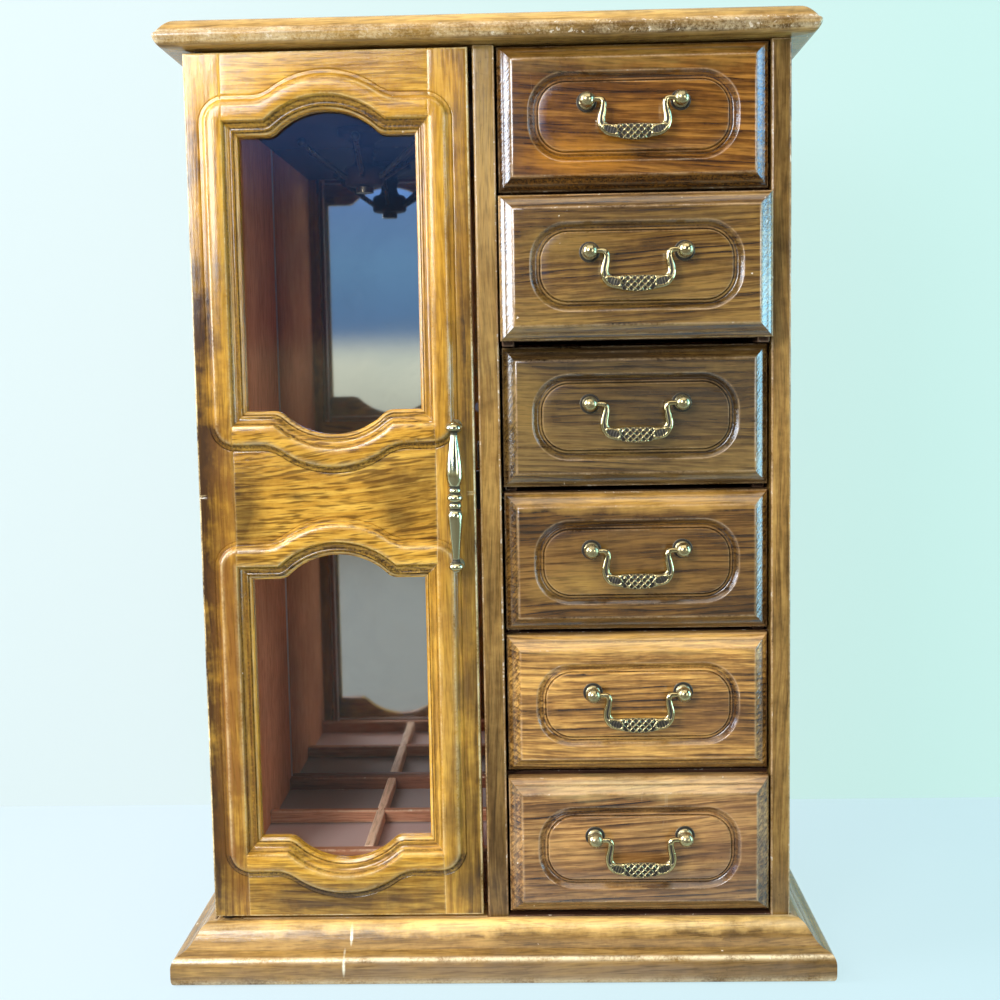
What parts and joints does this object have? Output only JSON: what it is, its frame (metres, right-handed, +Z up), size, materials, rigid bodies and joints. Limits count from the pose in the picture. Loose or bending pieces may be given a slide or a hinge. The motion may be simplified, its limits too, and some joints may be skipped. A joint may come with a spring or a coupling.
{
  "type": "vanity box with mirror",
  "caption": "Table-top wooden jewellery cabinet: a glazed door over a mirror-backed compartment with a turning hanging hub, beside a stack of small drawers with bail pulls.",
  "frame": {"origin": "centre of the flat underside, midway between the front of the base moulding and the back", "axes": "+Z up, +Y to the back, +X to the right as seen from the front"},
  "size_m": [0.28, 0.1565, 0.3998],
  "materials": {
    "case_wood": "stained, satin lacquer, edges worn pale",
    "door_wood": "amber stain, satin lacquer",
    "drawer_wood": "brown stain, satin lacquer",
    "inner_wood": "red-brown stain, satin",
    "old_brass": "antiqued, dark in the recesses",
    "steel": "plain",
    "magnet": "matt",
    "felt": "short pile",
    "glass": "clear",
    "mirror": "silvered"
  },
  "bodies": {
    "cabinet": {"base_front_moulding": "case_wood", "base_left_moulding": "case_wood", "base_right_moulding": "case_wood", "bottom_board": "case_wood", "left_side_panel": "case_wood", "right_side_panel": "case_wood", "centre_partition": "case_wood", "top_board": "case_wood", "back_panel": "inner_wood", "mirror": "mirror", "drawer_shelves": "inner_wood", "door_sill": "case_wood", "compartment_floor": "inner_wood", "floor_felt": "felt", "tray_front_rail": "inner_wood", "tray_rear_rail": "inner_wood", "tray_cross_divider": "inner_wood", "tray_long_divider": "inner_wood", "ceiling_board": "inner_wood", "carousel_bolt": "steel", "magnet_catch": "magnet", "door_pivot_pins": "steel"},
    "door": {"door_left_stile": "door_wood", "door_right_stile": "door_wood", "door_top_rail": "door_wood", "door_middle_rail": "door_wood", "door_bottom_rail": "door_wood", "upper_glass": "glass", "lower_glass": "glass", "glass_retainers": "inner_wood", "door_pull": "old_brass", "door_pull_screws": "steel", "catch_plate": "steel"},
    "carousel": {"carousel_hub": "inner_wood", "carousel_pegs": "old_brass"},
    "drawer_1": {"drawer_1_front": "drawer_wood", "drawer_1_box": "inner_wood", "drawer_1_posts": "old_brass"},
    "bail_1": {"drawer_1_bail": "old_brass"},
    "drawer_2": {"drawer_2_front": "drawer_wood", "drawer_2_box": "inner_wood", "drawer_2_posts": "old_brass"},
    "bail_2": {"drawer_2_bail": "old_brass"},
    "drawer_3": {"drawer_3_front": "drawer_wood", "drawer_3_box": "inner_wood", "drawer_3_posts": "old_brass"},
    "bail_3": {"drawer_3_bail": "old_brass"},
    "drawer_4": {"drawer_4_front": "drawer_wood", "drawer_4_box": "inner_wood", "drawer_4_posts": "old_brass"},
    "bail_4": {"drawer_4_bail": "old_brass"},
    "drawer_5": {"drawer_5_front": "drawer_wood", "drawer_5_box": "inner_wood", "drawer_5_posts": "old_brass"},
    "bail_5": {"drawer_5_bail": "old_brass"},
    "drawer_6": {"drawer_6_front": "drawer_wood", "drawer_6_box": "inner_wood", "drawer_6_posts": "old_brass"},
    "bail_6": {"drawer_6_bail": "old_brass"}
  },
  "joints": [
    {"name": "door_hinge", "type": "hinge", "parent": "cabinet", "child": "door", "pos_m": [-0.1183, -0.05465, 0.2], "axis": [0, 0, -1], "range_deg": [0, 105]},
    {"name": "carousel_spin", "type": "hinge", "parent": "cabinet", "child": "carousel", "pos_m": [-0.0591, 0.0131, 0.3675], "axis": [0, 0, 1], "continuous": true},
    {"name": "drawer_1_slide", "type": "slide", "parent": "cabinet", "child": "drawer_1", "axis": [0, -1, 0], "range_m": [-0.0016, 0.075]},
    {"name": "bail_1_swing", "type": "hinge", "parent": "drawer_1", "child": "bail_1", "pos_m": [0.05905, -0.06695, 0.36395], "axis": [-1, 0, 0], "range_deg": [0, 150]},
    {"name": "drawer_2_slide", "type": "slide", "parent": "cabinet", "child": "drawer_2", "axis": [0, -1, 0], "range_m": [-0.0139, 0.075]},
    {"name": "bail_2_swing", "type": "hinge", "parent": "drawer_2", "child": "bail_2", "pos_m": [0.05905, -0.07925, 0.30325], "axis": [-1, 0, 0], "range_deg": [0, 150]},
    {"name": "drawer_3_slide", "type": "slide", "parent": "cabinet", "child": "drawer_3", "axis": [0, -1, 0], "range_m": [0, 0.075]},
    {"name": "bail_3_swing", "type": "hinge", "parent": "drawer_3", "child": "bail_3", "pos_m": [0.05905, -0.06535, 0.24255], "axis": [-1, 0, 0], "range_deg": [0, 150]},
    {"name": "drawer_4_slide", "type": "slide", "parent": "cabinet", "child": "drawer_4", "axis": [0, -1, 0], "range_m": [0, 0.075]},
    {"name": "bail_4_swing", "type": "hinge", "parent": "drawer_4", "child": "bail_4", "pos_m": [0.05905, -0.06535, 0.18185], "axis": [-1, 0, 0], "range_deg": [0, 150]},
    {"name": "drawer_5_slide", "type": "slide", "parent": "cabinet", "child": "drawer_5", "axis": [0, -1, 0], "range_m": [0, 0.075]},
    {"name": "bail_5_swing", "type": "hinge", "parent": "drawer_5", "child": "bail_5", "pos_m": [0.05905, -0.06535, 0.12115], "axis": [-1, 0, 0], "range_deg": [0, 150]},
    {"name": "drawer_6_slide", "type": "slide", "parent": "cabinet", "child": "drawer_6", "axis": [0, -1, 0], "range_m": [-0.0045, 0.075]},
    {"name": "bail_6_swing", "type": "hinge", "parent": "drawer_6", "child": "bail_6", "pos_m": [0.05905, -0.06985, 0.06045], "axis": [-1, 0, 0], "range_deg": [0, 150]}
  ]
}
